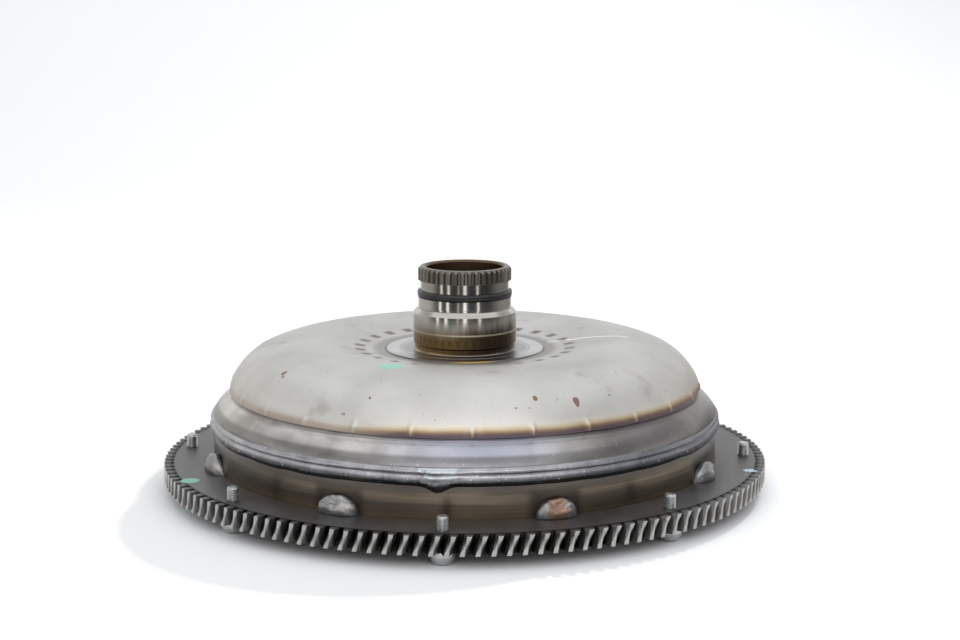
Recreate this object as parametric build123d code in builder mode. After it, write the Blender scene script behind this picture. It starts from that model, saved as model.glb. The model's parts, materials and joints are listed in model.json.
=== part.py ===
from build123d import *
import math
import os

# Torque converter. Millimetres, +Z up along the shaft. The origin is on the axis,
# on the plane that the bolt heads stand on; the engine side is down.

os.makedirs("parts", exist_ok=True)

# ---- driving dimensions ----
BOLT_HEAD_H = 6.6
PLATE_TOP_Z = 16.0
PLATE_BORE_R = 133.9
TOOTH_COUNT = 140
TOOTH_TIP_R = 160.0
TOOTH_PITCH_R = 157.7
TOOTH_ROOT_R = 155.0
TOOTH_TWIST_DEG = 1.24  # turn of the helical teeth over the plate's thickness
BOLT_COUNT = 8
BOLT_CIRCLE_R = 149.0
BOLT_START_DEG = -93.5
BOLT_R = 2.95  # M6 thread where it stands free
BOLT_CORE_R = 2.4  # thread core, where the bolt is screwed into the ring
TAPPED_HOLE_R = 2.5
BOLT_LENGTH = 16.2

COVER_R = 133.8
COVER_BOTTOM_Z = 4.0
COVER_T = 4.0
COVER_RIM_Z = 36.0
DISH_R = 60.0  # inside this radius the cover and the piston are raised
DISH_RISE = 9.0

SHELL_T = 3.0
SHELL_LIP_Z = 37.0
GROOVE_R = 124.0
IMPELLER_BLADES = 27
TURBINE_BLADES = 29
BLADE_T = 0.9
BLADE_GAP = 0.1  # brazing gap between a blade and its shell
SPLIT_Z = 54.0  # mid plane between impeller and turbine
SPLIT_GAP = 4.0
CORE_R = 86.0
CORE_HALF_W = 20.0
CORE_HALF_H = 11.0
CORE_T = 1.2

HUB_BORE_R = 20.5
HUB_TOP_Z = 116.8
HUB_DISC_R = 42.3
HUB_DISC_Z = (67.2, 72.8)
JOURNAL_R = 27.4
SEAL_LAND_R = 24.9
NECK_R = 23.6
HUB_SPLINES = 43

STATOR_Z = (45.4, 62.0)
STATOR_BLADES = 19
RACE_OUTER_R = 38.0
RACE_INNER_R = 26.0
ROLLER_R = 3.0
ROLLER_COUNT = 10
ROLLER_PITCH_R = 29.05

NOSE_R = 25.0  # turbine hub nose that the piston slides on
TURBINE_FLANGE_Z = (33.5, 37.5)
RIVET_CIRCLE_R = 41.0
RIVET_COUNT = 12

PISTON_Z = 11.0
PISTON_T = 3.5
LINING_T = 1.5
DAMPER_Z = 21.7
FLANGE_T = 3.0
RETAINER_T = 2.0
SPRING_COUNT = 6
SPRING_R = 104.0
SPRING_COIL_R = 4.2
SPRING_WIRE_R = 1.3
SPRING_LENGTH = 57.0
LUG_COUNT = 12
LUG_R = (121.6, 124.6)


# ---- helpers ----
def save(solid, label):
    """Name a finished piece and write its file."""
    solid.label = label
    export_step(solid, "parts/" + label + ".step")


def turn(points, mode=Mode.ADD):
    """Revolve a closed outline of (radius, height) points about the shaft."""
    with BuildSketch(Plane.XZ) as section:
        with BuildLine():
            Polyline(*points, close=True)
        make_face()
    revolve(section.sketch, axis=Axis.Z, mode=mode)


def ring(r_in, r_out, z_low, z_high, mode=Mode.ADD):
    """A plain turned ring."""
    turn([(r_in, z_low), (r_out, z_low), (r_out, z_high), (r_in, z_high)], mode)


def inset(points, distance):
    """Shift an open profile to its left side by a distance."""
    moved = []
    for i, (r, z) in enumerate(points):
        before = points[max(i - 1, 0)]
        after = points[min(i + 1, len(points) - 1)]
        run = after[0] - before[0]
        rise = after[1] - before[1]
        size = math.hypot(run, rise)
        moved.append((r - distance * rise / size, z + distance * run / size))
    return moved


def polar_point(radius, degrees):
    """Plan position at a radius and an angle from +X."""
    angle = math.radians(degrees)
    return (radius * math.cos(angle), radius * math.sin(angle))


def toothed_outline(plane, count, flank):
    """Face bounded by evenly spaced teeth.

    flank lists (radius, half width) of one tooth from its root to its tip."""
    corners = []
    for i in range(count):
        middle = i * 360.0 / count
        for radius, half in flank:
            corners.append(polar_point(radius, middle - math.degrees(half / radius)))
        for radius, half in reversed(flank):
            corners.append(polar_point(radius, middle + math.degrees(half / radius)))
    with BuildSketch(plane) as outline:
        with BuildLine():
            Polyline(*corners, close=True)
        make_face()
    return outline.sketch


# ---- profiles that several pieces share ----
# Outer face of the impeller dome from the step above its skirt up to the hub hole.
DOME = [(124.8, 53.0), (124.3, 56.5), (121.4, 62.0), (116.9, 67.5), (110.0, 72.6),
        (98.0, 76.6), (84.0, 77.9), (70.0, 76.4), (56.0, 73.5), (42.4, 72.2)]
DOME_INNER = inset(DOME, SHELL_T)
DOME_BLADES = inset(DOME, SHELL_T + BLADE_GAP)

# Underside of the turbine shell from its rim in to the bend above the rivet flange.
TURBINE_T = 1.8
BOWL = [(118.6, 52.0), (116.5, 44.5), (111.0, 38.4), (103.0, 34.0), (93.0, 31.6),
        (82.0, 31.2), (71.0, 33.2), (62.0, 36.2), (54.0, 37.5)]
BOWL_INNER = inset(BOWL, -TURBINE_T)
BOWL_BLADES = inset(BOWL, -TURBINE_T - BLADE_GAP)


# ---- ring, cover and fasteners ----
def make_ring_gear_plate():
    """Drive ring: helical starter teeth outside, tapped bolt holes, bored for the cover."""
    low = Plane.XY.offset(BOLT_HEAD_H)
    high = Plane(origin=(0, 0, PLATE_TOP_Z), z_dir=(0, 0, 1),
                 x_dir=(*polar_point(1, TOOTH_TWIST_DEG), 0))
    flank = ((TOOTH_ROOT_R, 2.8), (TOOTH_PITCH_R, 1.8), (TOOTH_TIP_R, 1.1))
    faces = [toothed_outline(plane, TOOTH_COUNT, flank) for plane in (low, high)]
    with BuildPart() as plate:
        loft(faces, ruled=True)
        with BuildSketch(low) as holes:
            Circle(PLATE_BORE_R)
            with PolarLocations(BOLT_CIRCLE_R, BOLT_COUNT, BOLT_START_DEG):
                Circle(TAPPED_HOLE_R)
        extrude(holes.sketch, amount=PLATE_TOP_Z - BOLT_HEAD_H, mode=Mode.SUBTRACT)
    save(plate.part, "ring_gear_plate")


def make_drive_plate_bolts():
    """Round-headed screws with their heads below the ring and their points above it."""
    head_r = 6.3
    socket_flats = 4.0
    socket_depth = 3.0
    thread_z = PLATE_TOP_Z + 0.1
    top = BOLT_HEAD_H + BOLT_LENGTH
    tip_chamfer = 0.8
    with BuildPart() as bolt:
        with BuildSketch(Plane.XZ) as section:
            with BuildLine():
                Line((0, 0), (3.2, 0))
                ThreePointArc((3.2, 0), (5.5, 1.5), (head_r, 4.2))
                Polyline((head_r, 4.2), (head_r, BOLT_HEAD_H), (BOLT_CORE_R, BOLT_HEAD_H),
                         (BOLT_CORE_R, thread_z), (BOLT_R, thread_z),
                         (BOLT_R, top - tip_chamfer), (BOLT_R - tip_chamfer, top),
                         (0, top), (0, 0))
            make_face()
        revolve(section.sketch, axis=Axis.Z)
        with BuildSketch(Plane.XY) as socket:
            RegularPolygon(socket_flats / 2, 6, major_radius=False)
        extrude(socket.sketch, amount=socket_depth, mode=Mode.SUBTRACT)
    with BuildPart() as bolts:
        with PolarLocations(BOLT_CIRCLE_R, BOLT_COUNT, BOLT_START_DEG):
            add(bolt.part)
    save(bolts.part, "drive_plate_bolts")


def make_plate_lug_welds():
    """Short fillet welds that hold the ring to the cover's wall."""
    arc = 8.0
    height = 10.5
    width = 8.0
    first = -71.0
    foot = (COVER_R, PLATE_TOP_Z)
    with BuildPart() as lug:
        with BuildSketch(Plane.XZ) as section:
            with BuildLine():
                Line(foot, (COVER_R + width, PLATE_TOP_Z))
                ThreePointArc((COVER_R + width, PLATE_TOP_Z),
                              (COVER_R + width * 0.62, PLATE_TOP_Z + height * 0.55),
                              (COVER_R, PLATE_TOP_Z + height))
                Line((COVER_R, PLATE_TOP_Z + height), foot)
            make_face()
        revolve(section.sketch, axis=Axis.Z, revolution_arc=arc)
    with BuildPart() as welds:
        for i in range(BOLT_COUNT):
            start = first + i * 360.0 / BOLT_COUNT - arc / 2
            add(lug.part, rotation=(0, 0, start))
    save(welds.part, "plate_lug_welds")


def make_front_cover():
    """Engine-side cup: flat friction face, raised middle and tall outer wall."""
    flat_r = 72.0
    corner = 5.0
    inner_r = COVER_R - COVER_T
    top = COVER_BOTTOM_Z + COVER_T
    spigot_hole_r = 10.05
    with BuildPart() as cover:
        with BuildSketch(Plane.XZ) as section:
            with BuildLine():
                Polyline((spigot_hole_r, COVER_BOTTOM_Z + DISH_RISE),
                         (DISH_R, COVER_BOTTOM_Z + DISH_RISE),
                         (flat_r, COVER_BOTTOM_Z),
                         (COVER_R - corner, COVER_BOTTOM_Z))
                RadiusArc((COVER_R - corner, COVER_BOTTOM_Z),
                          (COVER_R, COVER_BOTTOM_Z + corner), -corner)
                Polyline((COVER_R, COVER_BOTTOM_Z + corner),
                         (COVER_R, COVER_RIM_Z),
                         (inner_r, COVER_RIM_Z),
                         (inner_r, top + 1.0),
                         (inner_r - 1.0, top),
                         (flat_r + 2.0, top),
                         (DISH_R + 2.0, top + DISH_RISE),
                         (spigot_hole_r, top + DISH_RISE),
                         (spigot_hole_r, COVER_BOTTOM_Z + DISH_RISE))
            make_face()
        revolve(section.sketch, axis=Axis.Z)
    save(cover.part, "front_cover")


def make_crank_pilot():
    """Centring boss on the engine side, its spigot filling the hole in the cover."""
    boss_r = 18.0
    boss_low = 1.0
    spigot_r = 10.0
    seat_z = COVER_BOTTOM_Z + DISH_RISE
    with BuildPart() as pilot:
        turn([(0, boss_low), (boss_r - 1.5, boss_low), (boss_r, boss_low + 1.5),
              (boss_r, seat_z), (spigot_r, seat_z), (spigot_r, seat_z + COVER_T - 0.2),
              (0, seat_z + COVER_T - 0.2)])
        with BuildSketch(Plane.XY.offset(boss_low)) as recess:
            Circle(5.0)
        extrude(recess.sketch, amount=4.0, mode=Mode.SUBTRACT)
    save(pilot.part, "crank_pilot")


def make_closing_weld():
    """Bead round the joint between cover and shell, with its root between their edges."""
    root_r = 131.0
    with BuildPart() as bead:
        with BuildSketch(Plane.XZ) as section:
            with BuildLine():
                Polyline((COVER_R, 31.8), (135.4, 32.8), (136.4, 34.6), (135.6, 36.4),
                         (135.9, 38.4), (135.0, 40.4), (134.0, 41.2), (134.0, SHELL_LIP_Z),
                         (root_r, SHELL_LIP_Z), (root_r, COVER_RIM_Z),
                         (COVER_R, COVER_RIM_Z), (COVER_R, 31.8))
            make_face()
        revolve(section.sketch, axis=Axis.Z)
    save(bead.part, "closing_weld")


# ---- impeller ----
def make_impeller_shell():
    """Domed half with its flared skirt, blade bumps above the skirt and stake marks."""
    bump_r = 1.5
    bump_start = -87.9
    stake_r = 56.0
    stake_size = (5.0, 1.6)
    stake_depth = 0.6
    stake_top = 73.4
    skirt_outer = [(124.8, 53.0), (GROOVE_R, 52.4), (GROOVE_R, 51.0), (125.5, 49.6),
                   (130.0, 46.3), (134.0, 41.2), (134.0, SHELL_LIP_Z)]
    skirt_inner = [(130.8, SHELL_LIP_Z), (130.8, 40.0), (127.4, 43.8), (122.3, 47.2),
                   (121.0, 50.0), DOME_INNER[0]]
    with BuildPart() as shell:
        with BuildSketch(Plane.XZ) as section:
            with BuildLine():
                Spline(*DOME)
                Line(DOME[-1], DOME_INNER[-1])
                Spline(*DOME_INNER)
                Polyline(*skirt_outer)
                Line(skirt_outer[-1], skirt_inner[0])
                Polyline(*skirt_inner)
            make_face()
        revolve(section.sketch, axis=Axis.Z)
        with Locations((0, 0, 54.2)):
            with PolarLocations(124.6, IMPELLER_BLADES, bump_start):
                Sphere(bump_r)
        with BuildSketch(Plane.XY.offset(stake_top + 2.0)) as stakes:
            with PolarLocations(stake_r, IMPELLER_BLADES, bump_start):
                SlotOverall(stake_size[0], stake_size[1])
        extrude(stakes.sketch, amount=-2.0 - stake_depth, mode=Mode.SUBTRACT)
    save(shell.part, "impeller_shell")


def passage(profile, edge_z, inlet, middle_z):
    """Revolved space between a shell's inner face and the core, where the blades stand.

    inlet is the blades' edge on the hub side, from the core to the shell."""
    hub_r = profile[-1][0] - 1.0
    with BuildPart() as space:
        with BuildSketch(Plane.XZ) as section:
            with BuildLine():
                Spline(*profile)
                Polyline(profile[-1], (profile[-1][0], edge_z), (profile[0][0], edge_z),
                         profile[0])
            make_face()
            with BuildLine():
                Polyline((inlet[0][0], edge_z), inlet[0], inlet[1], (hub_r, inlet[1][1]),
                         (hub_r, edge_z), close=True)
            make_face(mode=Mode.SUBTRACT)
            with Locations((CORE_R, middle_z)):
                Ellipse(CORE_HALF_W, CORE_HALF_H, mode=Mode.SUBTRACT)
        revolve(section.sketch, axis=Axis.Z)
    return space.part


def bladed_wheel(space, path, low, high, count, name):
    """Thin curved blades cut to a passage and repeated round the shaft."""
    with BuildPart() as blade:
        with BuildSketch(Plane.XY.offset(low)) as strip:
            with BuildLine():
                ThreePointArc(*path)
            trace(line_width=BLADE_T)
        extrude(strip.sketch, amount=high - low)
        add(space, mode=Mode.INTERSECT)
    with BuildPart() as wheel:
        for i in range(count):
            add(blade.part, rotation=(0, 0, i * 360.0 / count))
    save(wheel.part, name)


def make_impeller_blades():
    """Pump blades, nearly radial and leaning back a little toward the rim."""
    middle_z = SPLIT_Z + 1.0
    lip_z = SPLIT_Z + SPLIT_GAP / 2
    inlet = ((67.0, 59.0), (51.0, 80.0))
    space = passage(DOME_BLADES, lip_z - SPLIT_GAP, inlet, middle_z)
    path = (polar_point(46, 0), polar_point(85, -6), polar_point(126, -17))
    bladed_wheel(space, path, lip_z, 84.0, IMPELLER_BLADES, "impeller_blades")


def make_turbine_blades():
    """Turbine blades, strongly hooked in plan."""
    middle_z = SPLIT_Z - 1.0
    lip_z = SPLIT_Z - SPLIT_GAP / 2
    inlet = ((66.5, 48.0), (54.5, 34.0))
    space = passage(BOWL_BLADES, lip_z + SPLIT_GAP, inlet, middle_z)
    path = (polar_point(48, -24), polar_point(86, 0), polar_point(124, -14))
    bladed_wheel(space, path, 28.0, lip_z, TURBINE_BLADES, "turbine_blades")


def core_ring(middle_z, side, name):
    """Half of the hollow core ring; side is +1 above the split plane and -1 below."""
    lip_z = SPLIT_Z + side * SPLIT_GAP / 2
    cutter_h = 2 * CORE_HALF_H
    with BuildPart() as core:
        with BuildSketch(Plane.XZ) as section:
            with Locations((CORE_R, middle_z)):
                Ellipse(CORE_HALF_W, CORE_HALF_H)
                Ellipse(CORE_HALF_W - CORE_T, CORE_HALF_H - CORE_T, mode=Mode.SUBTRACT)
            with Locations((CORE_R, lip_z - side * cutter_h / 2)):
                Rectangle(3 * CORE_HALF_W, cutter_h, mode=Mode.SUBTRACT)
        revolve(section.sketch, axis=Axis.Z)
    save(core.part, name)


def make_impeller_hub():
    """Neck on its disc: journal, seal groove and land, and pump-drive splines."""
    groove = (100.6, 104.4)
    spline_z = 109.5
    root_r = 23.7
    tip_r = 24.8
    flank = ((root_r, 1.15), (tip_r, 0.65))
    with BuildPart() as hub:
        turn([(HUB_BORE_R, HUB_DISC_Z[0]), (HUB_DISC_R, HUB_DISC_Z[0]),
              (HUB_DISC_R, HUB_DISC_Z[1] - 0.6), (HUB_DISC_R - 0.6, HUB_DISC_Z[1]),
              (34.9, HUB_DISC_Z[1]), (34.7, HUB_DISC_Z[1] - 0.3),
              (34.3, HUB_DISC_Z[1] - 0.3), (34.1, HUB_DISC_Z[1]),
              (27.6, HUB_DISC_Z[1]), (26.7, HUB_DISC_Z[1] + 0.9), (26.7, 75.4),
              (JOURNAL_R, 76.2), (JOURNAL_R, 92.6), (SEAL_LAND_R + 0.4, 94.9),
              (SEAL_LAND_R - 0.4, 95.1), (SEAL_LAND_R - 0.4, 96.0),
              (SEAL_LAND_R, 96.2), (SEAL_LAND_R, groove[0]), (22.6, groove[0]),
              (22.6, groove[1]), (NECK_R, groove[1]), (NECK_R, spline_z),
              (HUB_BORE_R, spline_z)])
        teeth = toothed_outline(Plane.XY.offset(spline_z), HUB_SPLINES, flank)
        extrude(teeth, amount=HUB_TOP_Z - spline_z)
        chamfer_r = tip_r + 1.0
        turn([(root_r - 0.4, HUB_TOP_Z), (chamfer_r, HUB_TOP_Z - chamfer_r + root_r - 0.4),
              (chamfer_r, HUB_TOP_Z)], Mode.SUBTRACT)
        turn([(0, spline_z - 1.0), (HUB_BORE_R, spline_z - 1.0),
              (HUB_BORE_R, HUB_TOP_Z - 1.0), (HUB_BORE_R + 1.0, HUB_TOP_Z),
              (0, HUB_TOP_Z)], Mode.SUBTRACT)
    save(hub.part, "impeller_hub")


def make_hub_weld():
    """Bead inside the shell where the hub's disc meets the hole."""
    low = HUB_DISC_Z[0]
    with BuildPart() as bead:
        turn([(HUB_DISC_R, low + 0.2), (HUB_DISC_R + 2.0, low + 2.0),
              (HUB_DISC_R, low + 2.0)])
    save(bead.part, "hub_weld")


def make_hub_o_ring():
    """Seal ring in the neck's groove."""
    with BuildPart() as seal:
        with BuildSketch(Plane.XZ) as section:
            with Locations((23.95, 102.5)):
                RectangleRounded(2.5, 3.5, 1.1)
        revolve(section.sketch, axis=Axis.Z)
    save(seal.part, "hub_o_ring")


# ---- turbine ----
def make_turbine_shell():
    """Pressed bowl behind the turbine blades, with a flat riveting flange."""
    inner_r = 34.2
    flange_low = TURBINE_FLANGE_Z[1]
    with BuildPart() as bowl:
        with BuildSketch(Plane.XZ) as section:
            with BuildLine():
                Spline(*BOWL)
                Polyline(BOWL[-1], (inner_r, flange_low),
                         (inner_r, flange_low + TURBINE_T),
                         BOWL_INNER[-1])
                Spline(*BOWL_INNER)
                Line(BOWL_INNER[0], BOWL[0])
            make_face()
        revolve(section.sketch, axis=Axis.Z)
        with BuildSketch(Plane.XY.offset(flange_low)) as holes:
            with PolarLocations(RIVET_CIRCLE_R, RIVET_COUNT):
                Circle(2.5)
        extrude(holes.sketch, amount=TURBINE_T, mode=Mode.SUBTRACT)
    save(bowl.part, "turbine_shell")


def make_turbine_hub():
    """Splined hub with its rivet flange and the nose that the piston slides on."""
    nose_low = 19.5
    boss_top = 41.0
    root_r = 14.8
    tip_r = 13.5
    seal_groove = (23.0, 25.4)
    low, high = TURBINE_FLANGE_Z
    with BuildPart() as hub:
        turn([(tip_r, nose_low), (NOSE_R, nose_low), (NOSE_R, seal_groove[0]),
              (NOSE_R - 2.6, seal_groove[0]), (NOSE_R - 2.6, seal_groove[1]),
              (NOSE_R, seal_groove[1]), (NOSE_R, low), (46.0, low), (46.0, high),
              (33.8, high), (33.8, boss_top), (tip_r, boss_top)])
        with BuildSketch(Plane.XY.offset(low)) as holes:
            with PolarLocations(RIVET_CIRCLE_R, RIVET_COUNT):
                Circle(2.5)
        extrude(holes.sketch, amount=high - low, mode=Mode.SUBTRACT)
        inner_spline(root_r, tip_r, 24, nose_low, boss_top)
    save(hub.part, "turbine_hub")


def inner_spline(root_r, tip_r, count, low, high):
    """Cut a splined bore: the spaces reach root_r and the teeth stand in to tip_r."""
    half = math.pi * root_r / count / 2
    flank = ((tip_r, 0.8 * half), (root_r, 1.1 * half))
    spaces = toothed_outline(Plane.XY.offset(low), count, flank)
    extrude(spaces, amount=high - low, mode=Mode.SUBTRACT)


def make_turbine_rivets():
    """Rivets through the driven flange, the hub and the turbine shell."""
    low = 31.0
    high = TURBINE_FLANGE_Z[1] + TURBINE_T
    shank_r = 2.5
    head_r = 4.0
    head_h = 1.5
    with BuildPart() as rivet:
        turn([(0, low - head_h), (head_r - 1.0, low - head_h), (head_r, low - 0.5),
              (head_r, low), (shank_r, low), (shank_r, high), (head_r, high),
              (head_r, high + 0.5), (head_r - 1.0, high + head_h), (0, high + head_h)])
    with BuildPart() as rivets:
        with PolarLocations(RIVET_CIRCLE_R, RIVET_COUNT):
            add(rivet.part)
    save(rivets.part, "turbine_rivets")


def make_turbine_thrust_washer():
    """Washer between the cover and the end of the turbine hub."""
    with BuildPart() as washer:
        ring(15.5, 24.5, COVER_BOTTOM_Z + COVER_T + DISH_RISE, 19.3)
    save(washer.part, "turbine_thrust_washer")


# ---- stator and its one-way clutch ----
def make_stator_wheel():
    """Cast wheel: hub band, vanes and outer band in one piece."""
    low, high = STATOR_Z
    vane_start = 45.4
    vane_length = 16.4
    with BuildPart() as wheel:
        ring(RACE_OUTER_R, 46.0, low, high)
        ring(61.2, 63.6, low + 2.0, high - 2.0)
        for i in range(STATOR_BLADES):
            angle = i * 360.0 / STATOR_BLADES
            outward = (*polar_point(1, angle), 0)
            sideways = (*polar_point(1, angle + 90), 0)
            base = (*polar_point(vane_start, angle), (low + high) / 2)
            with BuildSketch(Plane(origin=base, x_dir=sideways, z_dir=outward)) as vane:
                with BuildLine():
                    Spline((-3.4, -5.0), (-2.4, -0.6), (0.4, 3.4), (4.6, 6.0))
                    Spline((4.6, 6.0), (2.6, 2.4), (1.2, -1.4), (0.2, -5.4))
                    ThreePointArc((0.2, -5.4), (-1.8, -6.6), (-3.4, -5.0))
                make_face()
            extrude(vane.sketch, amount=vane_length)
    save(wheel.part, "stator_wheel")


def make_clutch_outer_race():
    """Cam race: its bore has a ramped pocket for each roller and spring."""
    with BuildPart() as race:
        ring(30.2, RACE_OUTER_R, 47.0, 60.6)
        with BuildSketch(Plane.XY.offset(47.0)) as pockets:
            for i in range(ROLLER_COUNT):
                angle = i * 360.0 / ROLLER_COUNT
                with Locations(polar_point(ROLLER_PITCH_R, angle)):
                    Circle(ROLLER_R + 0.05)
                with PolarLocations(0, 1, angle + 9):
                    with Locations((28.6, 0)):
                        Rectangle(5.4, 8.0)
        extrude(pockets.sketch, amount=60.6 - 47.0, mode=Mode.SUBTRACT)
    save(race.part, "clutch_outer_race")


def make_clutch_inner_race():
    """Inner race with the spline that holds it on the stator shaft."""
    low = 47.1
    high = 60.5
    root_r = 19.6
    tip_r = 18.2
    with BuildPart() as race:
        ring(tip_r, RACE_INNER_R, low, high)
        inner_spline(root_r, tip_r, 30, low, high)
    save(race.part, "clutch_inner_race")


def make_clutch_rollers():
    """Rollers in their pockets."""
    with BuildPart() as rollers:
        with BuildSketch(Plane.XY.offset(47.4)) as circles:
            with PolarLocations(ROLLER_PITCH_R, ROLLER_COUNT):
                Circle(ROLLER_R)
        extrude(circles.sketch, amount=12.8)
        chamfer(rollers.edges().filter_by(GeomType.CIRCLE), 0.4)
    save(rollers.part, "clutch_rollers")


def make_clutch_springs():
    """Folded leaf springs that push the rollers up their ramps."""
    fold_deg = 1.8
    with BuildPart() as springs:
        with BuildSketch(Plane.XY.offset(48.4)) as leaves:
            for i in range(ROLLER_COUNT):
                middle = i * 360.0 / ROLLER_COUNT + 11.5
                corners = []
                for j in range(6):
                    radius = 27.2 if j % 2 == 0 else 29.8
                    corners.append(polar_point(radius, middle + fold_deg * (j - 2.5)))
                with BuildLine():
                    Polyline(*corners)
                trace(line_width=0.4)
        extrude(leaves.sketch, amount=10.8)
    save(springs.part, "clutch_springs")


def make_clutch_plates():
    """Side plates that keep the rollers in."""
    with BuildPart() as lower:
        ring(27.0, RACE_OUTER_R, STATOR_Z[0], 46.8)
    save(lower.part, "clutch_lower_plate")
    with BuildPart() as upper:
        ring(27.0, RACE_OUTER_R, 60.8, STATOR_Z[1])
    save(upper.part, "clutch_upper_plate")


def thrust_bearing(r_in, r_out, low_race, needle_z, high_race, names):
    """Lower race, caged needles and upper race of a thrust bearing."""
    needle_r = (needle_z[1] - needle_z[0]) / 2
    middle = (needle_z[0] + needle_z[1]) / 2
    needle_count = 24
    length = r_out - r_in - 3.0
    with BuildPart() as below:
        ring(r_in, r_out, *low_race)
    save(below.part, names[0])
    with BuildPart() as needles:
        ring(r_in + 0.4, r_in + 1.5, middle - 0.7, middle + 0.7)
        ring(r_out - 1.5, r_out - 0.4, middle - 0.7, middle + 0.7)
        for i in range(needle_count):
            angle = i * 360.0 / needle_count
            start = (*polar_point(r_in + 1.4, angle), middle)
            axis = (*polar_point(1, angle), 0)
            with BuildSketch(Plane(origin=start, z_dir=axis)) as end:
                Circle(needle_r)
            extrude(end.sketch, amount=length + 0.2)
    save(needles.part, names[1])
    with BuildPart() as above:
        ring(r_in, r_out, *high_race)
    save(above.part, names[2])


# ---- lock-up piston and torsional damper ----
def make_lockup_piston():
    """Disc that clamps its lining to the cover, with lugs that drive the damper."""
    rim_r = 126.0
    flat_r = 74.5
    dish_r = DISH_R + 2.5
    bore_r = NOSE_R + 0.05
    sleeve_r = 28.6
    raised = PISTON_Z + 8.5
    top = PISTON_Z + PISTON_T
    lug_top = 22.0
    with BuildPart() as piston:
        turn([(bore_r, raised), (dish_r, raised), (flat_r, PISTON_Z), (rim_r, PISTON_Z),
              (rim_r, top), (flat_r + 1.6, top), (dish_r + 1.6, raised + PISTON_T),
              (sleeve_r, raised + PISTON_T), (sleeve_r, raised + 6.5),
              (bore_r, raised + 6.5)])
        with BuildSketch(Plane.XY.offset(top - 1.0)) as lugs:
            Circle(LUG_R[1])
            Circle(LUG_R[0], mode=Mode.SUBTRACT)
            with PolarLocations(LUG_R[1], LUG_COUNT):
                Rectangle(12.0, 8.0, mode=Mode.INTERSECT)
        extrude(lugs.sketch, amount=lug_top - top + 1.0)
    save(piston.part, "lockup_piston")


def make_friction_lining():
    """Friction ring bonded under the piston."""
    with BuildPart() as lining:
        ring(100.0, 124.0, PISTON_Z - LINING_T, PISTON_Z)
    save(lining.part, "friction_lining")


def make_piston_seal_ring():
    """Seal ring in the groove of the turbine hub's nose."""
    with BuildPart() as seal:
        ring(NOSE_R - 2.3, NOSE_R - 0.02, 23.1, 25.3)
    save(seal.part, "piston_seal_ring")


def spring_windows(length, width, low, depth):
    """Slots for the springs through a damper plate."""
    with BuildSketch(Plane.XY.offset(low)) as windows:
        with PolarLocations(SPRING_R, SPRING_COUNT):
            Rectangle(width, length)
    extrude(windows.sketch, amount=depth, mode=Mode.SUBTRACT)


def damper_plate(r_in, r_out, low, name, notched):
    """One of the two plates that carry the springs."""
    window_length = SPRING_LENGTH + 0.6
    window_width = 2 * (SPRING_COIL_R + SPRING_WIRE_R) + 0.6
    with BuildPart() as plate:
        ring(r_in, r_out, low, low + RETAINER_T)
        spring_windows(window_length, window_width, low, RETAINER_T)
        with BuildSketch(Plane.XY.offset(low)) as holes:
            with PolarLocations(117.0, SPRING_COUNT, 30):
                Circle(2.5)
            if notched:
                with PolarLocations(LUG_R[1], LUG_COUNT):
                    Rectangle(7.0, 8.8)
        extrude(holes.sketch, amount=RETAINER_T, mode=Mode.SUBTRACT)
    save(plate.part, name)


def make_damper_plates():
    """Lower plate, driven by the piston's lugs, and upper plate riveted to it."""
    lower_z = DAMPER_Z - FLANGE_T / 2 - 1.2 - RETAINER_T
    upper_z = DAMPER_Z + FLANGE_T / 2 + 1.2
    damper_plate(79.0, 125.4, lower_z, "damper_lower_plate", True)
    damper_plate(84.0, 120.5, upper_z, "damper_upper_plate", False)
    return lower_z, upper_z


def make_damper_rivets(lower_z, upper_z):
    """Shouldered rivets that hold the two plates apart and together."""
    head_h = 1.0
    spacer_r = 3.6
    with BuildPart() as rivet:
        turn([(0, lower_z - head_h), (3.5, lower_z - head_h), (3.5, lower_z),
              (2.5, lower_z), (2.5, lower_z + RETAINER_T),
              (spacer_r, lower_z + RETAINER_T), (spacer_r, upper_z), (2.5, upper_z),
              (2.5, upper_z + RETAINER_T), (3.5, upper_z + RETAINER_T),
              (3.5, upper_z + RETAINER_T + head_h), (0, upper_z + RETAINER_T + head_h)])
    with BuildPart() as rivets:
        with PolarLocations(117.0, SPRING_COUNT, 30):
            add(rivet.part)
    save(rivets.part, "damper_rivets")


def make_damper_driven_flange():
    """Dished flange riveted to the turbine hub, with an arm between each two springs."""
    low = DAMPER_Z - FLANGE_T / 2
    high = DAMPER_Z + FLANGE_T / 2
    arm_r = 112.0
    web_r = 94.0
    arm_width = 34.0
    seat = 31.0
    thickness = TURBINE_FLANGE_Z[0] - seat
    with BuildPart() as flange:
        turn([(27.0, seat), (54.0, seat), (77.0, low), (web_r, low), (web_r, high),
              (78.0, high), (56.0, seat + thickness), (27.0, seat + thickness)])
        with BuildSketch(Plane.XY.offset(low)) as arms:
            with PolarLocations((arm_r + 84.0) / 2, SPRING_COUNT, 30):
                Rectangle(arm_r - 84.0, arm_width)
            Circle(arm_r, mode=Mode.INTERSECT)
        extrude(arms.sketch, amount=FLANGE_T)
        spring_windows(SPRING_LENGTH + 0.6, 2 * (SPRING_COIL_R + SPRING_WIRE_R) + 0.6,
                       low, FLANGE_T)
        with BuildSketch(Plane.XY.offset(seat)) as holes:
            with PolarLocations(RIVET_CIRCLE_R, RIVET_COUNT):
                Circle(2.5)
        extrude(holes.sketch, amount=thickness, mode=Mode.SUBTRACT)
    save(flange.part, "damper_driven_flange")


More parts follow.
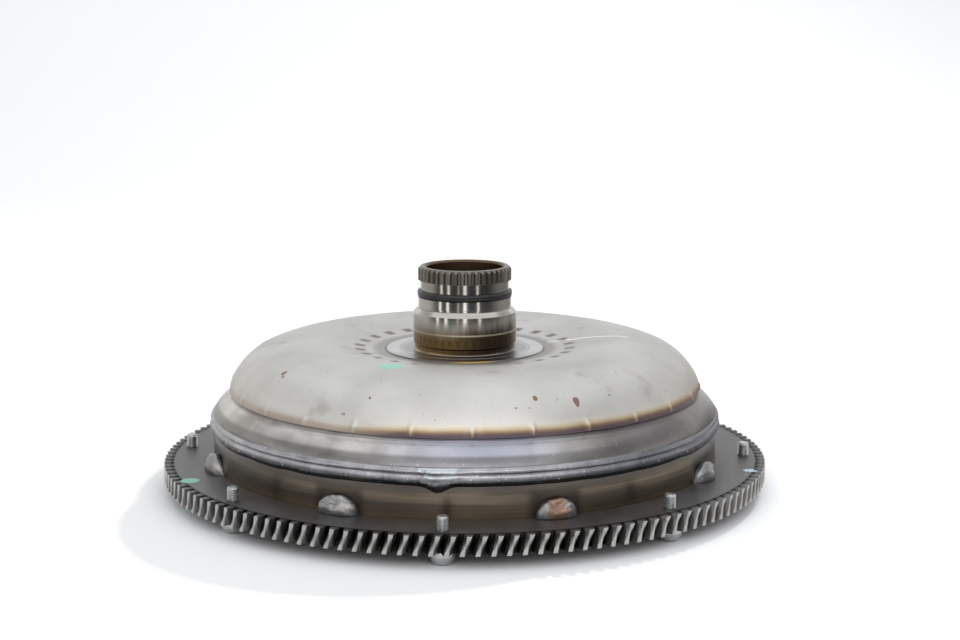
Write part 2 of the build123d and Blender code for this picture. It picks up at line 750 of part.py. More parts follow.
def make_damper_springs():
    """Straight coil springs lying round the damper."""
    turns = 14
    height = SPRING_LENGTH - 2 * SPRING_WIRE_R
    with BuildPart() as spring:
        with BuildLine() as wire:
            Helix(height / turns, height, SPRING_COIL_R)
        with BuildSketch(Plane(origin=wire.line @ 0, z_dir=wire.line % 0)):
            Circle(SPRING_WIRE_R)
        sweep()
    with BuildPart() as springs:
        for i in range(SPRING_COUNT):
            angle = i * 360.0 / SPRING_COUNT
            along = (*polar_point(1, angle + 90), 0)
            middle_x, middle_y = polar_point(SPRING_R, angle)
            start = (middle_x - along[0] * height / 2, middle_y - along[1] * height / 2,
                     DAMPER_Z)
            add(Plane(origin=start, z_dir=along).location * spring.part)
    save(springs.part, "damper_springs")


# ---- build ----
make_ring_gear_plate()
make_drive_plate_bolts()
make_plate_lug_welds()
make_front_cover()
make_crank_pilot()
make_closing_weld()

make_impeller_shell()
make_impeller_blades()
core_ring(SPLIT_Z + 1.0, 1, "impeller_core_ring")
make_impeller_hub()
make_hub_weld()
make_hub_o_ring()

make_turbine_shell()
make_turbine_blades()
core_ring(SPLIT_Z - 1.0, -1, "turbine_core_ring")
make_turbine_hub()
make_turbine_rivets()
make_turbine_thrust_washer()

make_stator_wheel()
make_clutch_outer_race()
make_clutch_inner_race()
make_clutch_rollers()
make_clutch_springs()
make_clutch_plates()
thrust_bearing(22.0, 32.0, (41.0, 41.9), (42.0, 44.0), (44.4, 45.4),
               ("turbine_bearing_hub_race", "turbine_bearing_needles",
                "turbine_bearing_stator_race"))
thrust_bearing(29.0, 41.0, (62.0, 63.0), (63.1, 65.6), (65.7, 67.2),
               ("impeller_bearing_stator_race", "impeller_bearing_needles",
                "impeller_bearing_hub_race"))

make_lockup_piston()
make_friction_lining()
make_piston_seal_ring()
plate_heights = make_damper_plates()
make_damper_rivets(*plate_heights)
make_damper_driven_flange()
make_damper_springs()
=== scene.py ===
import json
import math

import bpy
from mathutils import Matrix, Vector, noise


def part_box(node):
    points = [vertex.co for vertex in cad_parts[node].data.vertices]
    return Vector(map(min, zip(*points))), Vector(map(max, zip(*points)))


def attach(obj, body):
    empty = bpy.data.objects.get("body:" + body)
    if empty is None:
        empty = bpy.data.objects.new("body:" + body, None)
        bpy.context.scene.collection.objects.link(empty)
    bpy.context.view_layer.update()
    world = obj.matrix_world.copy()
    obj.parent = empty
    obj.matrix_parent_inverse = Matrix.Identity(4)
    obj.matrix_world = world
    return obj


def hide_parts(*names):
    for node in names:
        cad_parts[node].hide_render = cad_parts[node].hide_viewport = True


# Torque converter on a pale sweep. Metres, in the CAD frame: the shaft is Z and the
# front is -Y. Plan angles run from the front toward +X.

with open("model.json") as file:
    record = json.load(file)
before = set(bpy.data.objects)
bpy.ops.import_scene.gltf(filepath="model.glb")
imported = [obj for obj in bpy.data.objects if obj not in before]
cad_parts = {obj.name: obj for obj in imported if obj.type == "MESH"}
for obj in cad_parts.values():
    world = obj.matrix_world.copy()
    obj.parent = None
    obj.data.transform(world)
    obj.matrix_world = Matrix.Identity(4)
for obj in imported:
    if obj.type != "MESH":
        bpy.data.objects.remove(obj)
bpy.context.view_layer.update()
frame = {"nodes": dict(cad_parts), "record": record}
MM = 0.001
NODES = frame["nodes"]

# ---- sizes read from the frame ----
plate_low, plate_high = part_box("ring_gear_plate")
cover_low, cover_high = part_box("front_cover")
weld_low, weld_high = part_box("closing_weld")
bolt_low, bolt_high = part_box("drive_plate_bolts")
PLATE_LOW = plate_low[2]
PLATE_TOP = plate_high[2]
WALL_R = cover_high[0]
WELD_LOW = weld_low[2]
WELD_HIGH = weld_high[2]
BOLT_LOW = bolt_low[2]
BOLT_TOP = bolt_high[2]

# ---- places that repeat the model's ----
BOLT_COUNT = 8  # the lug welds sit half way between the bolts
BOLT_CIRCLE_R = 149 * MM
BOLT_START = math.radians(-3.5)
LUG_START = math.radians(19.0)
BLADES = 27
BLADE_START = math.radians(2.1)


# ---- shader helpers ----
class Shader:
    """A material under construction, with short names for the nodes it needs."""

    def __init__(self, name):
        self.material = bpy.data.materials.new(name)
        self.material.use_nodes = True
        self.tree = self.material.node_tree
        self.surface = self.tree.nodes["Principled BSDF"]
        self.place = self.node("ShaderNodeTexCoord").outputs["Object"]
        parts = self.node("ShaderNodeSeparateXYZ", {0: self.place})
        self.x, self.y, self.z = parts.outputs
        self.angle = self.calc("ARCTAN2", self.x, self.calc("MULTIPLY", self.y, -1.0))
        flat = self.node("ShaderNodeCombineXYZ", {0: self.x, 1: self.y})
        length = self.node("ShaderNodeVectorMath", {0: flat.outputs[0]})
        length.operation = "LENGTH"
        self.radius = length.outputs["Value"]
        self.side = self.calc("SINE", self.angle)

    def node(self, kind, inputs=None):
        made = self.tree.nodes.new(kind)
        for key, value in (inputs or {}).items():
            self.feed(made.inputs[key], value)
        return made

    def feed(self, socket, value):
        if isinstance(value, bpy.types.NodeSocket):
            self.tree.links.new(value, socket)
        elif isinstance(value, tuple) and len(value) == 3 and socket.type == "RGBA":
            socket.default_value = (*value, 1.0)
        else:
            socket.default_value = value

    def calc(self, operation, a, b=0.0, c=0.0, clamp=False):
        made = self.node("ShaderNodeMath", {0: a, 1: b, 2: c})
        made.operation = operation
        made.use_clamp = clamp
        return made.outputs[0]

    def between(self, value, low, high):
        """0 below low, 1 above high, smooth between; low may be the larger."""
        made = self.node("ShaderNodeMapRange", {"Value": value, "From Min": low,
                                                "From Max": high})
        made.interpolation_type = "SMOOTHSTEP"
        return made.outputs["Result"]

    def noise(self, scale, detail=3.0, vector=None, roughness=0.55):
        made = self.node("ShaderNodeTexNoise", {
            "Vector": vector or self.place, "Scale": scale, "Detail": detail,
            "Roughness": roughness})
        return made.outputs[0]

    def wrapped(self, around, radial, height):
        """Noise coordinates that close on themselves round the shaft."""
        outward = self.calc("MULTIPLY", self.radius, radial)
        made = self.node("ShaderNodeCombineXYZ", {
            0: self.calc("MULTIPLY", self.calc("COSINE", self.angle), around),
            1: self.calc("MULTIPLY", self.calc("SINE", self.angle), around),
            2: self.calc("MULTIPLY_ADD", self.z, height, outward)})
        return made.outputs[0]

    def mix(self, factor, a, b):
        made = self.node("ShaderNodeMix")
        made.data_type = "RGBA"
        self.feed(made.inputs[0], factor)
        self.feed(made.inputs[6], a)
        self.feed(made.inputs[7], b)
        return made.outputs[2]

    def ramp(self, factor, stops):
        made = self.node("ShaderNodeValToRGB", {0: factor})
        band = made.color_ramp
        while len(band.elements) < len(stops):
            band.elements.new(0.5)
        for element, (place, colour) in zip(band.elements, stops):
            element.position = place
            element.color = (*colour, 1.0)
        return made.outputs[0]

    def blot(self, radius, degrees, size, ragged=0.25):
        """1 inside a ragged round mark at a plan position."""
        angle = math.radians(degrees)
        x = self.calc("SUBTRACT", self.x, radius * math.sin(angle))
        y = self.calc("ADD", self.y, radius * math.cos(angle))
        away = self.calc("SQRT", self.calc("ADD", self.calc("MULTIPLY", x, x),
                                           self.calc("MULTIPLY", y, y)))
        rough = self.calc("MULTIPLY", self.calc("SUBTRACT", self.noise(260.0), 0.5),
                          size * ragged * 2)
        return self.between(self.calc("ADD", away, rough), size, size * 0.86)

    def stroke(self, start, end, width):
        """1 along a thin scratch between two (radius, degrees) plan points."""
        ax, ay = plan(*start)
        bx, by = plan(*end)
        length = math.hypot(bx - ax, by - ay)
        ux, uy = (bx - ax) / length, (by - ay) / length
        x = self.calc("SUBTRACT", self.x, ax)
        y = self.calc("SUBTRACT", self.y, ay)
        along = self.calc("ADD", self.calc("MULTIPLY", x, ux), self.calc("MULTIPLY", y, uy))
        across = self.calc("ABSOLUTE", self.calc(
            "SUBTRACT", self.calc("MULTIPLY", y, ux), self.calc("MULTIPLY", x, uy)))
        beyond = self.calc("MAXIMUM", self.calc("MULTIPLY", along, -1.0),
                           self.calc("SUBTRACT", along, length))
        reach = self.calc("MAXIMUM", across, beyond)
        rough = self.calc("MULTIPLY", self.calc("SUBTRACT", self.noise(500.0), 0.5),
                          width * 1.2)
        return self.between(self.calc("ADD", reach, rough), width, width * 0.5)

    def bump(self, height, strength, distance):
        made = self.node("ShaderNodeBump", {"Height": height, "Strength": strength,
                                            "Distance": distance})
        self.feed(self.surface.inputs["Normal"], made.outputs[0])

    def finish(self, colour, roughness, metallic=1.0):
        self.feed(self.surface.inputs["Base Color"], colour)
        self.feed(self.surface.inputs["Roughness"], roughness)
        self.surface.inputs["Metallic"].default_value = metallic
        return self.material

    def finish_chalky(self, colour, roughness, chalk):
        """Metal, except where chalk is 1: paint or bare scratches."""
        metal = self.calc("SUBTRACT", 1.0, chalk, clamp=True)
        self.feed(self.surface.inputs["Metallic"], metal)
        self.feed(self.surface.inputs["Base Color"], colour)
        self.feed(self.surface.inputs["Roughness"], roughness)
        return self.material


def plan(radius, degrees):
    """X and Y at a radius and a plan angle from the front."""
    angle = math.radians(degrees)
    return radius * math.sin(angle), -radius * math.cos(angle)


# ---- materials ----
def dome_steel(s, cloud, brushed):
    """Warm grey satin steel with faint stains and dark specks."""
    steel = s.mix(s.between(cloud, 0.3, 0.7), (0.52, 0.51, 0.485), (0.66, 0.65, 0.63))
    steel = s.mix(s.calc("MULTIPLY", brushed, 0.4), steel, (0.48, 0.47, 0.45))
    stain = s.between(s.noise(34.0, 6.0), 0.60, 0.72)
    steel = s.mix(s.calc("MULTIPLY", stain, 0.35), steel, (0.27, 0.23, 0.19))
    specks = s.between(s.noise(420.0, 2.0), 0.70, 0.76)
    return s.mix(s.calc("MULTIPLY", specks, 0.6), steel, (0.12, 0.10, 0.08))


def heat_strip(s, steel, scallop):
    """Purple, brown and straw just above the skirt, lifted at each blade, thinner at left."""
    tint_low, tint_high = 54 * MM, 62 * MM
    blade_lift = 1.4 * MM
    wander_lift = 2.6 * MM
    left_lift = 2.6 * MM
    wander = s.noise(1.0, 3.0, s.wrapped(6.0, 0.0, 0.0))
    edge = s.calc("MULTIPLY_ADD", s.calc("POWER", s.calc("MAXIMUM", scallop, 0.0), 60.0),
                  blade_lift, s.calc("MULTIPLY_ADD", wander, wander_lift, s.z))
    left = s.between(s.side, -0.2, -0.56)
    edge = s.calc("MULTIPLY_ADD", left, left_lift, edge)
    tint = s.node("ShaderNodeMapRange", {"Value": edge, "From Min": tint_low,
                                         "From Max": tint_high}).outputs["Result"]
    strip = s.ramp(tint, [(0.0, (0.14, 0.11, 0.13)), (0.20, (0.20, 0.14, 0.15)),
                          (0.34, (0.34, 0.24, 0.16)), (0.50, (0.52, 0.43, 0.30)),
                          (0.72, (0.62, 0.58, 0.50)), (1.0, (0.60, 0.59, 0.56))])
    strip = s.mix(s.calc("MULTIPLY", left, 0.65), strip, (0.46, 0.40, 0.36))
    return s.mix(s.between(tint, 1.0, 0.55), steel, strip)


def skirt_steel(s, steel):
    """Streaked skirt, blue at the front, painted shade at the right side and in the groove, sooty
    near the weld.
    """
    shoulder = (53.2 * MM, 52.4 * MM)
    groove_floor = (50.3 * MM, 51.0 * MM)
    groove_roof = (53.2 * MM, 52.6 * MM)
    groove_front_shade_band = (49.0 * MM, 51.0 * MM)
    soot_band = (46.5 * MM, 44.5 * MM)
    streak = s.noise(1.0, 4.0, s.wrapped(5.0, 300.0, 300.0))
    skirt = s.mix(s.between(streak, 0.3, 0.7), (0.30, 0.28, 0.26), (0.56, 0.54, 0.52))
    front = s.between(s.calc("ABSOLUTE", s.calc("SUBTRACT", s.angle, 0.05)), 0.45, 0.1)
    skirt = s.mix(s.calc("MULTIPLY", front, 0.6), skirt, (0.44, 0.47, 0.58))
    # Painted shade: the right side of the skirt is mixed towards dark grey.
    right = s.between(s.side, 0.2, 0.64)
    skirt = s.mix(s.calc("MULTIPLY", right, 0.8), skirt, (0.12, 0.108, 0.11))
    soot = s.calc("MULTIPLY", s.between(s.z, *soot_band), 0.75)
    skirt = s.mix(soot, skirt, s.mix(streak, (0.07, 0.065, 0.06), (0.24, 0.235, 0.23)))
    # Painted shade: a bluish grey darkening along the groove at the front.
    groove_front_shade = s.calc("MULTIPLY", s.between(s.z, *groove_front_shade_band), front)
    skirt = s.mix(s.calc("MULTIPLY", groove_front_shade, 0.6), skirt, (0.25, 0.24, 0.30))
    fleck = s.between(s.noise(900.0, 2.0), 0.69, 0.73)
    skirt = s.mix(s.calc("MULTIPLY", fleck, 0.6), skirt, (0.60, 0.59, 0.57))
    steel = s.mix(s.between(s.z, *shoulder), steel, skirt)
    # Painted shade: the groove is darkened towards black all round.
    groove = s.calc("MULTIPLY", s.between(s.z, *groove_floor), s.between(s.z, *groove_roof))
    return s.mix(s.calc("MULTIPLY", groove, 0.45), steel, (0.07, 0.055, 0.06))


def stake_marks(s, steel, scallop, cloud):
    """Grimy oblong marks, one per blade, and dull metal between them and the hub."""
    mark_inner = (52.8 * MM, 53.8 * MM)
    mark_outer = (59.4 * MM, 58.2 * MM)
    worn_band = (51.0 * MM, 46.0 * MM)
    dash = s.calc("MULTIPLY", s.between(scallop, 0.10, 0.55), s.calc(
        "MULTIPLY", s.between(s.radius, *mark_inner), s.between(s.radius, *mark_outer)))
    grime = s.calc("MULTIPLY", dash, s.calc("MULTIPLY_ADD", cloud, 0.8, 0.25))
    steel = s.mix(grime, steel, (0.10, 0.07, 0.05))
    worn = s.calc("MULTIPLY", s.between(s.radius, *worn_band), 0.5)
    return s.mix(worn, steel, (0.17, 0.15, 0.14))


def stray_marks(s, steel):
    """Rust specks, a dab of green paint and a pale scratch; also where it isn't metal."""
    rust_spots = ((118.1, 27.2, 1.9), (115.3, 17.2, 1.2), (111.1, -53.6, 1.6),
                  (113.1, -52.4, 0.9), (115.9, -22.4, 0.7))
    scratch_path = ((47.5 * MM, 108), (54.4 * MM, 108), (68.4 * MM, 99), (87 * MM, 91))
    scratch_width = 0.9 * MM
    for radius, degrees, size in rust_spots:
        rust = s.blot(radius * MM, degrees, size * MM, 0.6)
        steel = s.mix(s.calc("MULTIPLY", rust, 0.8), steel, (0.20, 0.07, 0.03))
    paint = s.blot(85.5 * MM, -24.7, 7.0 * MM, 0.12)
    steel = s.mix(s.calc("MULTIPLY", paint, 0.85), steel, (0.20, 0.50, 0.38))
    scratch = 0.0
    for start, end in zip(scratch_path, scratch_path[1:]):
        scratch = s.calc("MAXIMUM", scratch, s.stroke(start, end, scratch_width))
    steel = s.mix(scratch, steel, (0.86, 0.86, 0.84))
    return steel, s.calc("MAXIMUM", paint, scratch)


def shell_material():
    """Satin pressed steel: heat tint above the skirt, blued skirt, stains and marks."""
    smooth_below, rough_above = 52.0 * MM, 54.0 * MM
    s = Shader("shell_steel")
    brushed = s.noise(1.0, 4.0, s.wrapped(2.0, 900.0, 900.0))
    cloud = s.noise(22.0, 5.0)
    scallop = s.calc("COSINE", s.calc("MULTIPLY", s.calc("SUBTRACT", s.angle, BLADE_START),
                                      BLADES))
    steel = dome_steel(s, cloud, brushed)
    steel = heat_strip(s, steel, scallop)
    steel = skirt_steel(s, steel)
    steel = stake_marks(s, steel, scallop, cloud)
    steel, chalk = stray_marks(s, steel)
    above = s.between(s.z, smooth_below, rough_above)
    rough = s.calc("MULTIPLY_ADD", cloud, 0.12, s.calc("MULTIPLY_ADD", above, 0.17, 0.24))
    s.bump(s.calc("MULTIPLY_ADD", brushed, 0.6, s.noise(300.0, 3.0)), 0.2, 0.1 * MM)
    return s.finish_chalky(steel, rough, chalk)


def hub_material():
    """Polished journal and seal land, varnish at the foot, in the bore and on the spline; the
    foot's varnish carries painted light, golden at the left and dark brown at the front and right.
    """
    neck_foot = (103.8 * MM, 104.6 * MM)
    varnish_band = (86 * MM, 74 * MM)
    journal_foot = (72.6 * MM, 73.2 * MM)
    spline_foot = (109.2 * MM, 109.6 * MM)
    bore_wall = (22.4 * MM, 21.6 * MM)
    seal_line_low = (82.7 * MM, 83.2 * MM)
    seal_line_high = (84.0 * MM, 83.5 * MM)
    disc_top = (73.0 * MM, 72.7 * MM)
    oily_ring = (36 * MM, 31 * MM)
    disc_edge = (41.2 * MM, 42.0 * MM)
    residue_ring = (42.4 * MM, 43.4 * MM)

    s = Shader("hub_steel")
    turned = s.noise(1.0, 3.0, s.wrapped(0.6, 100.0, 2600.0))
    steel = s.mix(turned, (0.34, 0.325, 0.30), (0.58, 0.56, 0.52))
    neck = s.between(s.z, *neck_foot)
    steel = s.mix(s.calc("MULTIPLY", neck, 0.5), steel, (0.20, 0.19, 0.175))
    runs = s.noise(1.0, 4.0, s.wrapped(7.0, 10.0, 30.0))
    side = s.between(s.calc("ABSOLUTE", s.calc("SUBTRACT", s.angle, 0.6)), 1.5, 0.2)
    level = s.calc("MULTIPLY_ADD", runs, -9 * MM, s.calc("MULTIPLY_ADD", side, -4 * MM, s.z))
    varnish = s.between(level, *varnish_band)
    foot = s.between(s.z, *journal_foot)
    varnish = s.calc("MULTIPLY", varnish, foot)
    # Painted light and shade on real varnish: golden where lit at the left and back, dark brown as
    # painted shade at the front and right.
    brown = s.mix(side, (0.20, 0.13, 0.055), (0.045, 0.032, 0.02))
    steel = s.mix(varnish, steel, brown)
    spline = s.between(s.z, *spline_foot)
    steel = s.mix(s.calc("MULTIPLY", spline, 0.85), steel, (0.15, 0.135, 0.115))
    bore = s.between(s.radius, *bore_wall)
    steel = s.mix(bore, steel, (0.13, 0.085, 0.05))
    wear = s.calc("MULTIPLY", s.between(s.z, *seal_line_low),
                  s.between(s.z, *seal_line_high))
    steel = s.mix(s.calc("MULTIPLY", wear, 0.6), steel, (0.62, 0.56, 0.45))
    disc = s.between(s.z, *disc_top)
    steel = s.mix(disc, steel, s.mix(runs, (0.50, 0.50, 0.50), (0.66, 0.66, 0.66)))
    front = s.between(s.calc("ABSOLUTE", s.angle), 1.35, 0.7)
    oily = s.calc("MAXIMUM", s.between(s.radius, *oily_ring), front)
    steel = s.mix(s.calc("MULTIPLY", s.calc("MULTIPLY", disc, oily), 0.8), steel,
                  s.mix(runs, (0.035, 0.03, 0.034), (0.19, 0.18, 0.20)))
    edge = s.calc("MULTIPLY", disc, s.between(s.radius, *disc_edge))
    steel = s.mix(s.calc("MULTIPLY", edge, 0.7), steel, (0.07, 0.06, 0.05))
    ragged = s.calc("MULTIPLY_ADD", s.noise(300.0), 4.0 * MM, s.radius)
    residue = s.calc("MULTIPLY", s.between(ragged, *residue_ring),
                     s.between(s.calc("ABSOLUTE", s.calc("SUBTRACT", s.angle, 0.12)), 0.35, 0.1))
    steel = s.mix(s.calc("MULTIPLY", s.calc("MULTIPLY", residue, disc), 0.8), steel,
                  (0.42, 0.27, 0.08))
    rough = s.calc("MULTIPLY_ADD", disc, 0.2, s.calc("MULTIPLY_ADD", spline, 0.2, 0.14))
    s.bump(turned, 0.15, 0.05 * MM)
    return s.finish(steel, rough)


def weld_material():
    """Grey weld metal: silvery at the stop, painted shade in blue-grey at the right and near black
    below, with spatter.
    """
    underside_shade_band = (36.6 * MM, 35.2 * MM)
    s = Shader("weld_steel")
    cloud = s.noise(90.0, 5.0)
    metal = s.mix(cloud, (0.12, 0.12, 0.13), (0.62, 0.62, 0.65))
    # Painted shade: the right side of the weld is darkened to a blue-grey.
    right = s.between(s.side, 0.25, 0.72)
    metal = s.mix(s.calc("MULTIPLY", right, 0.7), metal, (0.12, 0.13, 0.155))
    lump = s.blot(136 * MM, -4.5, 9 * MM, 0.8)
    metal = s.mix(s.calc("MULTIPLY", lump, 0.6), metal, (0.62, 0.66, 0.70))
    # Painted shade: the lower edge of the bead, facing down, is darkened almost to black.
    under = s.between(s.z, *underside_shade_band)
    metal = s.mix(s.calc("MULTIPLY", under, 0.8), metal, (0.03, 0.03, 0.032))
    spatter = s.between(s.noise(800.0, 2.0), 0.68, 0.72)
    metal = s.mix(spatter, metal, (0.70, 0.70, 0.69))
    s.bump(s.noise(900.0, 3.0), 0.3, 0.2 * MM)
    return s.finish(metal, s.calc("MULTIPLY_ADD", cloud, 0.25, 0.18))


def lug_weld_material():
    """Silvery weld lumps with a coppery heat spot."""
    s = Shader("lug_weld_steel")
    cloud = s.noise(140.0, 4.0)
    metal = s.mix(cloud, (0.07, 0.07, 0.075), (0.48, 0.47, 0.46))
    spot = s.blot(139 * MM, 18.8, 5 * MM, 0.7)
    metal = s.mix(s.calc("MULTIPLY", spot, 0.75), metal, (0.26, 0.14, 0.08))
    s.bump(s.noise(600.0, 3.0), 0.5, 0.3 * MM)
    return s.finish(metal, s.calc("MULTIPLY_ADD", cloud, 0.25, 0.22))


def cover_material():
    """Streaky brown wall, rusty at its foot, dull at its top, black round the lug welds."""
    rusty_band = (23 * MM, 18 * MM)
    dull_band = (27 * MM, 33 * MM)
    heat_band = (31 * MM, 26 * MM)

    s = Shader("cover_steel")
    streak = s.noise(1.0, 3.0, s.wrapped(0.8, 0.0, 330.0))
    patch = s.noise(1.0, 3.0, s.wrapped(3.0, 0.0, 60.0))
    blend = s.calc("MULTIPLY_ADD", streak, 0.65, s.calc("MULTIPLY", patch, 0.35))
    tone = s.ramp(blend, [(0.34, (0.08, 0.068, 0.058)), (0.48, (0.13, 0.108, 0.085)),
                          (0.58, (0.20, 0.16, 0.115)), (0.72, (0.30, 0.26, 0.20))])
    rusty = s.calc("MULTIPLY", s.between(s.z, *rusty_band), 0.5)
    tone = s.mix(rusty, tone, (0.20, 0.15, 0.10))
    dull = s.calc("MULTIPLY", s.between(s.z, *dull_band), 0.6)
    tone = s.mix(dull, tone, (0.10, 0.095, 0.095))
    lug = s.calc("COSINE", s.calc("MULTIPLY", s.calc("SUBTRACT", s.angle, LUG_START), BOLT_COUNT))
    heat = s.calc("MULTIPLY", s.between(lug, 0.60, 0.85), s.between(s.z, *heat_band))
    tone = s.mix(s.calc("MULTIPLY", heat, 0.75), tone, (0.03, 0.027, 0.026))
    s.bump(patch, 0.15, 0.1 * MM)
    return s.finish(tone, 0.3)


def ring_material():
    """Dark oily gunmetal, black painted shade between the teeth and worn bright tips."""
    flank_band = (157.9 * MM, 155.6 * MM)
    root_band = (154.6 * MM, 154.9 * MM)
    tip_band = (159.3 * MM, 159.7 * MM)

    s = Shader("ring_steel")
    cloud = s.noise(60.0, 5.0)
    metal = s.mix(cloud, (0.10, 0.096, 0.098), (0.22, 0.215, 0.22))
    # Painted shade: the flanks and roots between the teeth are darkened almost to black.
    flank_shade = s.between(s.radius, *flank_band)
    toothed = s.between(s.radius, *root_band)
    tooth_gap_shade = s.calc("MULTIPLY", flank_shade, toothed)
    metal = s.mix(tooth_gap_shade, metal, (0.02, 0.018, 0.017))
    wear = s.between(s.radius, *tip_band)
    scuffed = s.mix(s.noise(900.0, 3.0), (0.34, 0.33, 0.31), (0.58, 0.57, 0.53))
    metal = s.mix(wear, metal, scuffed)
    green = s.blot(152 * MM, -65.5, 5.2 * MM, 0.2)
    metal = s.mix(s.calc("MULTIPLY", green, 0.8), metal, (0.22, 0.55, 0.42))
    pale = s.blot(154.0 * MM, 73.7, 3.4 * MM, 0.7)
    metal = s.mix(s.calc("MULTIPLY", pale, 0.7), metal, (0.55, 0.68, 0.78))
    s.bump(cloud, 0.3, 0.2 * MM)
    rough = s.calc("MULTIPLY_ADD", cloud, 0.3, 0.32)
    return s.finish_chalky(metal, rough, s.calc("MAXIMUM", green, pale))


def plain_material(name, dark, light, scale, roughness, metallic=1.0):
    """Two tones of one finish, mixed by a fine cloud."""
    s = Shader(name)
    cloud = s.noise(scale, 4.0)
    s.bump(cloud, 0.15, 0.1 * MM)
    return s.finish(s.mix(cloud, dark, light), roughness, metallic)


def studio_material(name, colour, roughness):
    """Pale matt surface of the sweep."""
    s = Shader(name)
    cloud = s.noise(3.0, 2.0)
    dim = tuple(0.985 * c for c in colour)
    s.surface.inputs["Specular IOR Level"].default_value = 0.0
    return s.finish(s.mix(cloud, dim, colour), roughness, 0.0)


# ---- mesh helpers ----
def mesh_piece(name, corners, faces, material, smooth=True):
    """A new mesh object in the frame."""
    mesh = bpy.data.meshes.new(name)
    mesh.from_pydata(corners, [], faces)
    mesh.validate()
    mesh.update()
    if smooth:
        mesh.polygons.foreach_set("use_smooth", [True] * len(mesh.polygons))
    piece = bpy.data.objects.new(name, mesh)
    bpy.context.scene.collection.objects.link(piece)
    mesh.materials.append(material)
    return piece


def grid_faces(rows, columns, wrap_rows=False, wrap_columns=False, first=0):
    """Quads over a grid of corners numbered row by row."""
    faces = []
    for i in range(rows if wrap_rows else rows - 1):
        for j in range(columns if wrap_columns else columns - 1):
            a = first + i * columns + j
            b = first + i * columns + (j + 1) % columns
            c = first + (i + 1) % rows * columns + (j + 1) % columns
            d = first + (i + 1) % rows * columns + j
            faces.append((a, b, c, d))
    return faces


def grain(x, y, z=0.0):
    """Smooth repeatable noise from -1 to 1."""
    return noise.noise(Vector((x, y, z)))


def ring_grain(angle, frequency, height, seed):
    """Noise that closes on itself round the shaft."""
    return grain(math.cos(angle) * frequency + seed, math.sin(angle) * frequency, height)


# ---- pieces that replace plain CAD ones ----
def closing_weld(material):
    """The bead round the joint: two uneven ridges with ripples, a lump and a drip."""
    steps = 1440
    columns = 18
    root_r = 131.0 * MM
    root_low, root_high = 36.0 * MM, 37.0 * MM
    proud = 0.05 * MM
    corners = []
    for i in range(steps):
        angle = 2 * math.pi * i / steps
        degrees = math.degrees(math.atan2(math.sin(angle), math.cos(angle)))
        near = math.exp(-((degrees + 4.5) / 7.0) ** 2)
        drip = math.exp(-((degrees + 5.0) / 2.2) ** 2)
        sway = 0.5 * MM * ring_grain(angle, 9.0, 0.0, 3.0)
        for j in range(columns):
            t = j / (columns - 1)
            low = WELD_LOW + 0.2 * MM + sway - 3.0 * MM * drip * (1 - t)
            z = low + t * (WELD_HIGH - low)
            ridge = (0.9 * math.exp(-((t - 0.30) / 0.20) ** 2)
                     + 0.65 * math.exp(-((t - 0.78) / 0.14) ** 2))
            ripple = 0.10 * math.sin(angle * 300 + 5 * t + 3 * ring_grain(angle, 40, 0, 1))
            rough = ring_grain(angle, 60.0, t * 5, 5.0) + 0.4 * ring_grain(angle, 180.0, t * 9, 9.0)
            swell = (2.0 * ridge + ripple * ridge + 0.22 * rough * ridge
                     + near * (1.3 * ridge + 0.8 * rough * ridge))
            r = WALL_R + proud + max(swell, 0.0) * MM
            if j in (0, columns - 1):
                r = WALL_R
            corners.append((r * math.sin(angle), -r * math.cos(angle), z))
        for z in (root_high, root_low):
            corners.append((root_r * math.sin(angle), -root_r * math.cos(angle), z))
    faces = grid_faces(steps, columns + 2, True, True)
    piece = mesh_piece("closing_weld_bead", corners, faces, material)
    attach(piece, "housing")
    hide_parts("closing_weld")


def smooth_curve(points, steps):
    """Points along a smooth curve through the given ones."""
    ends = [points[0], *points, points[-1]]
    curve = []
    for p0, p1, p2, p3 in zip(ends, ends[1:], ends[2:], ends[3:]):
        for i in range(steps):
            t = i / steps
            curve.append(tuple(
                0.5 * (2 * b + (c - a) * t + (2 * a - 5 * b + 4 * c - d) * t * t
                       + (3 * b - a - 3 * c + d) * t ** 3)
                for a, b, c, d in zip(p0, p1, p2, p3)))
    curve.append(points[-1])
    return curve


def shell_outline():
    """(radius, height) loop of the shell in mm and how many of its points lie outside."""
    dome = [(42.4, 72.2), (56.0, 73.5), (70.0, 76.4), (84.0, 77.9), (98.0, 76.6),
            (110.0, 72.6), (116.9, 67.5), (121.4, 62.0), (124.3, 56.5), (124.8, 53.0)]
    skirt = [(124.7, 52.6), (124.1, 52.2), (124.0, 51.6), (124.2, 51.0), (124.9, 50.2),
             (126.0, 49.5), (128.0, 48.2), (130.2, 46.2), (132.2, 43.8), (133.6, 41.6),
             (134.0, 40.6), (134.0, 37.0)]
    inside = [(130.8, 37.0), (130.8, 40.0), (127.4, 43.8), (122.3, 47.2), (121.8, 52.5),
              (121.4, 55.4), (118.8, 60.4), (114.8, 65.4), (108.6, 70.0), (97.4, 73.7),
              (84.0, 74.9), (70.6, 73.5), (56.5, 70.5), (42.6, 69.2)]
    outside = smooth_curve(dome, 9) + skirt
    return outside + inside, len(outside)


